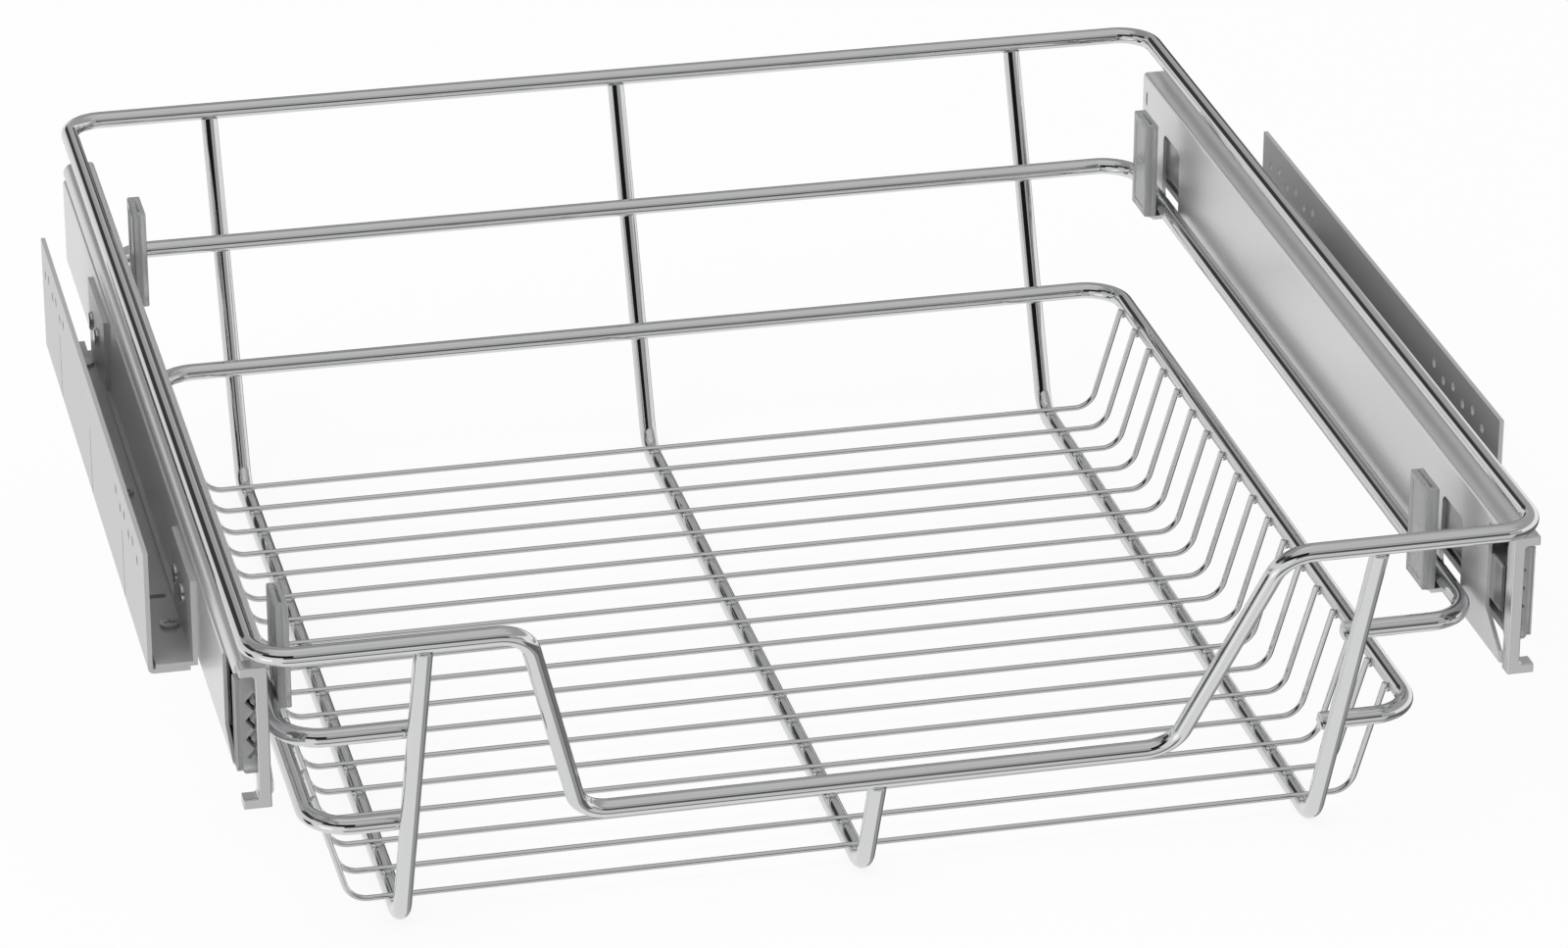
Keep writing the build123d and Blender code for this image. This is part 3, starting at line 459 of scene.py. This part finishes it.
def make_floor_wires():
    """Thin wires across the floor, bent up at both ends to the lower ring."""
    low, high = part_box(FLOOR_WIRE_NODES[0])
    first_y = (low.y + high.y) / 2
    floor_z, tip_z = low.z + FLOOR_WIRE_R, FLOOR_TIP_Z
    route = [(-FLOOR_TIP_X, first_y, tip_z), (-FLOOR_CORNER_X, first_y, floor_z),
             (FLOOR_CORNER_X, first_y, floor_z), (FLOOR_TIP_X, first_y, tip_z)]
    first = bent_wire(FLOOR_WIRE_R, FLOOR_FACETS, route, [FLOOR_WIRE_BEND_R] * 2)
    wires = [first]
    for node in FLOOR_WIRE_NODES[1:]:
        low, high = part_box(node)
        wires.append(copy_piece(first, (0, (low.y + high.y) / 2 - first_y, 0)))
    for node, wire in zip(FLOOR_WIRE_NODES, wires):
        hand_over(wire, node.replace("wire", "wire_bent"), "basket", chrome, [node])


# ---------------------------------------------------------------- sheet and cast pieces
def soften(node, body, material, edge):
    """A copy of the CAD piece, with the small radius of pressing or casting on its edges."""
    bpy.ops.object.select_all(action="DESELECT")
    source = frame["nodes"][node]
    piece = bpy.data.objects.new(node + "_soft", source.data.copy())
    bpy.context.scene.collection.objects.link(piece)
    piece.matrix_world = source.matrix_world.copy()
    to_origin(piece)
    bpy.ops.object.mode_set(mode="EDIT")
    bpy.ops.mesh.select_mode(type="VERT")
    bpy.ops.mesh.select_all(action="SELECT")
    bpy.ops.mesh.customdata_custom_splitnormals_clear()
    bpy.ops.mesh.remove_doubles(threshold=SAME_CAD_POINT)
    bpy.ops.mesh.dissolve_limited(angle_limit=SAME_PLANE)
    bpy.ops.object.mode_set(mode="OBJECT")
    bevel = piece.modifiers.new("edge_radius", "BEVEL")
    bevel.width = edge
    bevel.segments = EDGE_STEPS
    bevel.limit_method = "ANGLE"
    bevel.angle_limit = SHARP_EDGE
    bpy.ops.object.modifier_apply(modifier=bevel.name)
    bpy.ops.object.shade_smooth_by_angle(angle=SMOOTH_SHEET)
    flats = piece.modifiers.new("flats_stay_flat", "WEIGHTED_NORMAL")
    flats.keep_sharp = True
    flats.weight = 100    # the largest face alone sets the normal, so only the radius is shaded
    bpy.ops.object.modifier_apply(modifier=flats.name)
    hand_over(piece, node + "_soft", body, material, [node])


def soften_sheet_pieces():
    """Edge radii for the pieces of each side that the eye sees closest."""
    pieces = [
        ("bracket_outer_angle", "cabinet_side", bracket_sheet, "zinc_plated_steel", SHEET_EDGE),
        ("bracket_inner_angle", "cabinet_side", bracket_sheet, "zinc_plated_steel", SHEET_EDGE),
        ("side_profile", "drawer_side", zinc_sheet, "zinc_plated_steel", SHEET_EDGE),
        ("profile_end_piece", "drawer_side", cast_zinc, "cast_zinc", CAST_EDGE),
    ]
    for side in ("left_", "right_"):
        for name, body, material, slot, edge in pieces:
            soften(side + name, body, material, edge)


# ---------------------------------------------------------------- welds
def make_bead():
    """A spot weld's squeezed-out steel: a flat mound, flared where it meets the thick wire."""
    bpy.ops.object.select_all(action="DESELECT")
    bpy.ops.mesh.primitive_uv_sphere_add(
        segments=BEAD_SEGMENTS, ring_count=BEAD_RINGS, radius=1.0, location=(0, 0, 0))
    bead = bpy.context.active_object
    bpy.ops.object.mode_set(mode="EDIT")
    bpy.ops.mesh.select_all(action="SELECT")
    bpy.ops.transform.resize(value=(WELD_ACROSS, WELD_ALONG, WELD_HEIGHT))
    bpy.ops.mesh.bisect(plane_co=(0, 0, -WELD_HEIGHT * BEAD_SINK), plane_no=(0, 0, 1),
                        clear_inner=True, use_fill=True)
    select_faces(bead, lambda centre, normal: normal.z < -FACES_THAT_WAY)
    bpy.ops.mesh.extrude_region_move(
        TRANSFORM_OT_translate={"value": (0, 0, -WELD_HEIGHT * BEAD_FOOT)})
    bpy.ops.transform.resize(value=(BEAD_FLARE, BEAD_FLARE, 1.0))
    bpy.ops.object.mode_set(mode="OBJECT")
    to_origin(bead)
    return bead


def make_welds():
    """A bead where each floor wire lies on a bearer, and a smaller, upright one at each tip."""
    bead = make_bead()
    tip_bead = copy_piece(bead, (0, 0, 0))
    bpy.ops.transform.resize(value=(TIP_WELD_SHARE, TIP_WELD_SHARE, TIP_WELD_TALL))
    to_origin(tip_bead)
    beads = []
    for node in FLOOR_WIRE_NODES:
        wire_low, wire_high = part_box(node)
        along = (wire_low.y + wire_high.y) / 2
        for bearer in BEARER_NODES:
            low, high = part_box(bearer)
            beads.append(copy_piece(bead, ((low.x + high.x) / 2, along, WELD_Z)))
        for tip_x in (TIP_WELD_X, -TIP_WELD_X):
            beads.append(copy_piece(tip_bead, (tip_x, along, TIP_WELD_Z)))
    bpy.data.objects.remove(bead, do_unlink=True)
    bpy.data.objects.remove(tip_bead, do_unlink=True)
    only(*beads)
    bpy.ops.object.join()
    welds = bpy.context.active_object
    to_origin(welds)
    bpy.ops.object.shade_smooth()
    hand_over(welds, "floor_welds", "basket", chrome)


# ---------------------------------------------------------------- clips
CLIP_NODES = ["right_front_basket_clip", "right_rear_basket_clip",
              "left_front_basket_clip", "left_rear_basket_clip"]


def make_clips():
    """Smoky clips: a rounded block, a slot down through it for the hook, a panel in each side."""
    low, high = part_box(CLIP_NODES[0])
    bpy.ops.object.select_all(action="DESELECT")
    bpy.ops.mesh.primitive_cube_add(size=1.0, location=(low + high) / 2, scale=high - low)
    clip = bpy.context.active_object
    to_origin(clip)
    bpy.ops.object.mode_set(mode="EDIT")
    bpy.ops.mesh.select_all(action="SELECT")
    bpy.ops.mesh.bevel(offset=CLIP_EDGE_R, segments=CLIP_EDGE_STEPS, affect="EDGES")
    for side in (1, -1):
        select_faces(clip, lambda centre, normal: normal.z * side > FACES_THAT_WAY)
        bpy.ops.mesh.inset(thickness=CLIP_WALL, depth=0.0)
    middle = (low + high) / 2
    slot_half = (high.x - low.x) / 2 - CLIP_WALL

    def at_slot(centre, normal):
        off = centre - middle
        return abs(normal.z) > FACES_THAT_WAY and max(abs(off.x), abs(off.y)) < slot_half / 2

    select_faces(clip, at_slot)
    bpy.ops.mesh.bridge_edge_loops()
    for side in (1, -1):
        # the slot's walls look the same way, nearer to the middle
        select_faces(clip, lambda centre, normal: normal.x * side > FACES_THAT_WAY
                     and abs(centre.x - middle.x) > slot_half + CLIP_WALL / 2)
        bpy.ops.mesh.inset(thickness=CLIP_PANEL_EDGE, depth=0.0)
        bpy.ops.mesh.inset(thickness=CLIP_PANEL_DEPTH, depth=-CLIP_PANEL_DEPTH)
    bpy.ops.mesh.select_all(action="SELECT")
    bpy.ops.mesh.normals_make_consistent(inside=False)
    bpy.ops.object.mode_set(mode="OBJECT")
    only(clip)
    bpy.ops.object.shade_smooth_by_angle(angle=SMOOTH_MOULDING)
    clips = [clip]
    for node in CLIP_NODES[1:]:
        place = sum(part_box(node), Vector()) / 2
        clips.append(copy_piece(clip, place - middle))
    for node, piece in zip(CLIP_NODES, clips):
        hand_over(piece, node.replace("basket_clip", "clip_moulding"), "drawer_side",
                  smoky_plastic, [node])


# ---------------------------------------------------------------- buffers
def make_buffer_wings():
    """Each buffer's wing: an upright plate with sunk panels, ahead of the cabinet rail's end."""
    for side in ("left_", "right_"):
        rail_low, rail_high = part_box(side + "cabinet_rail")
        outboard = -1 if side == "left_" else 1
        outer_x = (rail_low.x if outboard < 0 else rail_high.x) - outboard * WING_MARGIN
        rear_y = rail_low.y - WING_RAIL_GAP
        size = Vector((WING_THICK, WING_LONG, rail_high.z - rail_low.z - WING_SHORTER))
        middle = Vector((outer_x - outboard * WING_THICK / 2, rear_y - WING_LONG / 2,
                         (rail_low.z + rail_high.z) / 2))
        bpy.ops.object.select_all(action="DESELECT")
        bpy.ops.mesh.primitive_cube_add(size=1.0, location=middle, scale=size)
        wing = bpy.context.active_object
        to_origin(wing)
        bpy.ops.object.mode_set(mode="EDIT")
        bpy.ops.mesh.select_all(action="SELECT")
        bpy.ops.mesh.bevel(offset=WING_EDGE_R, segments=EDGE_STEPS, affect="EDGES")
        for way, edge in ((Vector((outboard, 0, 0)), WING_SIDE_EDGE),
                          (Vector((0, -1, 0)), WING_FRONT_EDGE)):
            select_faces(wing, lambda centre, normal: normal.dot(way) > FACES_THAT_WAY)
            bpy.ops.mesh.inset(thickness=edge, depth=0.0)
            bpy.ops.mesh.inset(thickness=WING_PANEL_SLOPE, depth=-WING_PANEL_DEPTH)
        bpy.ops.object.mode_set(mode="OBJECT")
        only(wing)
        bpy.ops.object.shade_smooth_by_angle(angle=SMOOTH_MOULDING)
        hand_over(wing, side + "buffer_wing", "drawer_side", acetal)


make_rim()
make_ring("middle_ring_wire", "middle_ring")
make_ring("lower_ring_wire", "lower_ring")
for bearer_node in BEARER_NODES:
    make_bearer(bearer_node, bearer_node.replace("_wire", ""))
make_floor_wires()
soften_sheet_pieces()
make_welds()
make_clips()
make_buffer_wings()


# ---------------------------------------------------------------- camera, floor and light
CAMERA_LENS = 142.28          # millimetres, on a sensor 36 mm wide
CAMERA_SENSOR = 36.0
CAMERA_REACH = 30.0
CAMERA_PLACE = Vector((-0.53919, -2.35762, 1.21411))
CAMERA_RIGHT = Vector((0.97362, -0.22816, 0.00182))
CAMERA_UP = Vector((0.09493, 0.41231, 0.90608))
CAMERA_AHEAD = Vector((0.20748, 0.88201, -0.42310))


def make_camera():
    """The photo's camera, as fitted to the wires and rails in it."""
    data = bpy.data.cameras.new("photo_camera")
    data.lens = CAMERA_LENS
    data.sensor_width = CAMERA_SENSOR
    data.clip_end = CAMERA_REACH
    camera = bpy.data.objects.new("photo_camera", data)
    bpy.context.scene.collection.objects.link(camera)
    pose = Matrix((CAMERA_RIGHT, CAMERA_UP, -CAMERA_AHEAD)).transposed().to_4x4()
    pose.translation = CAMERA_PLACE
    camera.matrix_world = pose
    bpy.context.scene.camera = camera


WHITE = (1.0, 1.0, 1.0, 1.0)
PAPER_GLOW = 0.88             # plain white in what the eye sees of the paper; the rest takes shadow
PAPER_SIZE = 40.0


def make_floor():
    """White paper under the object: nearly white to the eye, with the object's soft shadow."""
    bpy.ops.object.select_all(action="DESELECT")
    bpy.ops.mesh.primitive_plane_add(size=PAPER_SIZE, location=(0, 0, 0))
    floor = bpy.context.active_object
    floor.name = "floor"
    material, tree = new_material("white_backdrop_paper")
    paths = add_node(tree, "ShaderNodeLightPath").outputs
    seen = add_node(tree, "ShaderNodeMath", {"operation": "MAXIMUM"},
                    {0: paths["Is Camera Ray"], 1: paths["Is Glossy Ray"]})
    seen = add_node(tree, "ShaderNodeMath", {"operation": "MAXIMUM"},
                    {0: seen.outputs[0], 1: paths["Is Transmission Ray"]})
    share = add_node(tree, "ShaderNodeMath", {"operation": "MULTIPLY"},
                     {0: seen.outputs[0], 1: PAPER_GLOW})
    paper = add_node(tree, "ShaderNodeBsdfDiffuse", inputs={"Color": linear("#fdfdfd")})
    white = add_node(tree, "ShaderNodeEmission", inputs={"Color": WHITE, "Strength": 1.0})
    mixed = add_node(tree, "ShaderNodeMixShader", inputs={
        0: share.outputs[0], 1: paper.outputs[0], 2: white.outputs[0]})
    add_node(tree, "ShaderNodeOutputMaterial", inputs={"Surface": mixed.outputs[0]})
    floor.data.materials.append(material)
    floor.visible_glossy = False    # the metal mirrors the studio all round, also below it


# The studio that the metal mirrors: brightness from straight down to straight up, as pairs of
# elevation and level, and then the cards and dark gaps in it. Degrees: azimuth 0 is in front of
# the basket and 90 at its right, elevation is up from the horizon.
HALF_TURN = 180
SOFT_LIGHT = 0.8              # of the world on all that isn't mirrored
ROOM_LEVELS = [(-90, 0.88), (-12, 0.88), (2, 0.85), (12, 0.62),
               (22, 0.42), (45, 0.42), (60, 0.55), (80, 0.68)]
CARDS = [    # azimuth, half width, elevation from, to, level, softness
    (0, 60, 34, 72, 0.62, 10),        # ceiling light in front
    (-150, 50, 34, 64, 0.34, 10),     # dull ceiling behind, left
    (100, 50, -12, 16, 1.0, 6),       # window along the right wall
    (-115, 40, -12, 15, 0.82, 6),     # paler wall at the left
    (35, 25, -12, 8, 0.4, 5),         # front wall, right of the camera
    (5, 24, -6, 14, 0.1, 3),          # the camera stand
    (-32, 34, 9, 34, 0.01, 3),        # black flag, front left
    (-75, 18, 25, 45, 0.08, 5),       # dark doorway at the left
    (-112, 20, 17, 40, 0.05, 5),      # dark curtain beside it
    (165, 14, -32, 13, 0.09, 5),      # dark post behind, right
    (-165, 11, 12, 30, 0.05, 3),      # dark gap behind, above the paper
    (97, 53, -46, -16, 0.16, 6),      # table's shadow side, right
    (10, 35, -62, -44, 0.24, 5),      # table edge in front
    (90, 60, -64, -46, 0.38, 6),      # table edge at the right
    (15, 30, -40, -16, 0.68, 5),      # table top in front
    (-105, 12, -38, -15, 0.02, 4),    # gap between two sheets of paper, left
    (-60, 15, -42, -18, 1.25, 6),     # lamp's spill on the paper, front left
]


def make_studio():
    """White for the eye, a furnished studio for the metal's mirror, soft light for the rest."""
    world = bpy.data.worlds.new("studio")
    bpy.context.scene.world = world
    world.use_nodes = True
    tree = world.node_tree
    tree.nodes.clear()
    paths = add_node(tree, "ShaderNodeLightPath").outputs
    direction = add_node(tree, "ShaderNodeTexCoord").outputs["Generated"]
    axis = add_node(tree, "ShaderNodeSeparateXYZ", inputs={"Vector": direction}).outputs

    def calc(operation, *values):
        inputs = dict(enumerate(values))
        return add_node(tree, "ShaderNodeMath", {"operation": operation}, inputs).outputs[0]

    azimuth = calc("DEGREES", calc("ARCTAN2", axis["X"], calc("MULTIPLY", axis["Y"], -1.0)))
    elevation = calc("DEGREES", calc("ARCSINE", axis["Z"]))
    room = add_node(tree, "ShaderNodeValToRGB", inputs={
        "Fac": calc("MULTIPLY_ADD", elevation, 1 / HALF_TURN, 0.5)})
    steps = room.color_ramp.elements
    while len(steps) < len(ROOM_LEVELS):
        steps.new(0.5)
    for step, (angle, level) in zip(steps, ROOM_LEVELS):
        step.position = angle / HALF_TURN + 0.5
        step.color = (level, level, level, 1.0)
    light = room.outputs["Color"]
    for middle, half_width, bottom, top, level, soft in CARDS:
        turned = calc("SUBTRACT", azimuth, float(middle))
        sideways = calc("ABSOLUTE", calc("WRAP", turned, float(HALF_TURN), -float(HALF_TURN)))
        upward = calc("ABSOLUTE", calc("SUBTRACT", elevation, (bottom + top) / 2))
        cover = []
        for distance, half in ((sideways, half_width), (upward, (top - bottom) / 2)):
            edge = add_node(tree, "ShaderNodeMapRange", {"interpolation_type": "SMOOTHSTEP"}, {
                "Value": distance, "From Min": half - soft / 2, "From Max": half + soft / 2,
                "To Min": 1.0, "To Max": 0.0})
            cover.append(edge.outputs[0])
        light = add_node(tree, "ShaderNodeMix", {"data_type": "RGBA"}, {
            0: calc("MULTIPLY", *cover), 6: light, 7: (level, level, level, 1.0)}).outputs[2]
    mirrored = add_node(tree, "ShaderNodeBackground", inputs={"Color": light, "Strength": 1.0})
    soft_light = add_node(tree, "ShaderNodeBackground", inputs={
        "Color": WHITE, "Strength": SOFT_LIGHT})
    backdrop = add_node(tree, "ShaderNodeBackground", inputs={"Color": WHITE, "Strength": 1.0})
    on_object = add_node(tree, "ShaderNodeMixShader", inputs={
        0: paths["Is Glossy Ray"], 1: soft_light.outputs[0], 2: mirrored.outputs[0]})
    to_eye = calc("MAXIMUM", paths["Is Camera Ray"], paths["Is Transmission Ray"])
    seen = add_node(tree, "ShaderNodeMixShader", inputs={
        0: to_eye, 1: on_object.outputs[0], 2: backdrop.outputs[0]})
    add_node(tree, "ShaderNodeOutputWorld", inputs={"Surface": seen.outputs[0]})


SOFTBOX_PLACE = (-1.6, -1.2, 2.6)
SOFTBOX_SIZE = 1.6
SOFTBOX_POWER = 22.0


def make_lamp(name, place, size, power):
    """A round softbox that shapes the shadow; the metal mirrors the studio instead of it."""
    data = bpy.data.lights.new(name, "AREA")
    data.shape = "DISK"
    data.size = size
    data.energy = power
    lamp = bpy.data.objects.new(name, data)
    lamp.location = place
    lamp.rotation_euler = (-Vector(place)).to_track_quat("-Z", "Y").to_euler()
    lamp.visible_glossy = False
    bpy.context.scene.collection.objects.link(lamp)


make_camera()
make_floor()
make_studio()
make_lamp("softbox", SOFTBOX_PLACE, SOFTBOX_SIZE, SOFTBOX_POWER)
bpy.context.scene.view_settings.view_transform = "Standard"
